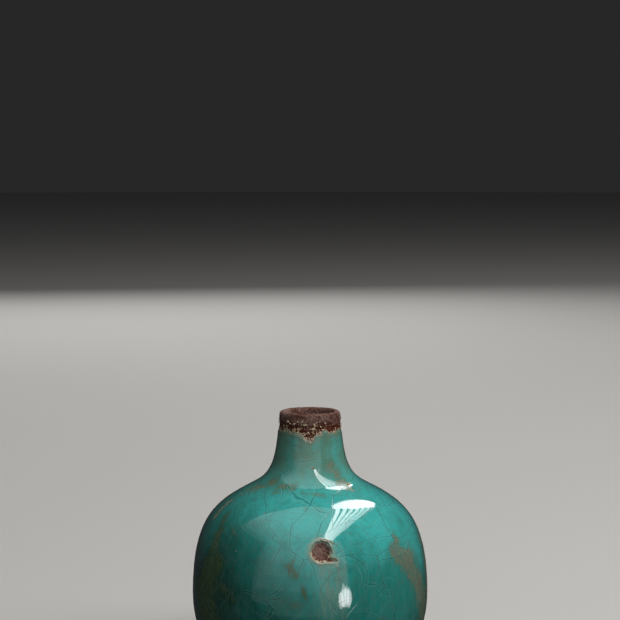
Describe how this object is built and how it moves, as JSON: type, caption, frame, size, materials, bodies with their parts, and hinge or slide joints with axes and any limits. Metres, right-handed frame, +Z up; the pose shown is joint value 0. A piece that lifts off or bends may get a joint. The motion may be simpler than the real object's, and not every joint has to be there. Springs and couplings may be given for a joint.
{
  "type": "bud vase",
  "caption": "Round ceramic bud vase with a narrow neck and a turquoise crackle glaze, for single stems.",
  "frame": {"origin": "centre of the foot, on the surface that the vase stands on", "axes": "+Z up along the vase's axis, -Y towards the front, where the pit in the glaze is"},
  "size_m": [0.1088, 0.1088, 0.118],
  "materials": {
    "clay": "rough bare dark brown stoneware",
    "outer_glaze": "glossy turquoise crackle glaze, breaking brown where it is thin",
    "liner_glaze": "glossy dark green liner glaze"
  },
  "bodies": {
    "root": {"clay_body": "clay", "outer_glaze": "outer_glaze", "liner_glaze": "liner_glaze"}
  },
  "joints": []
}
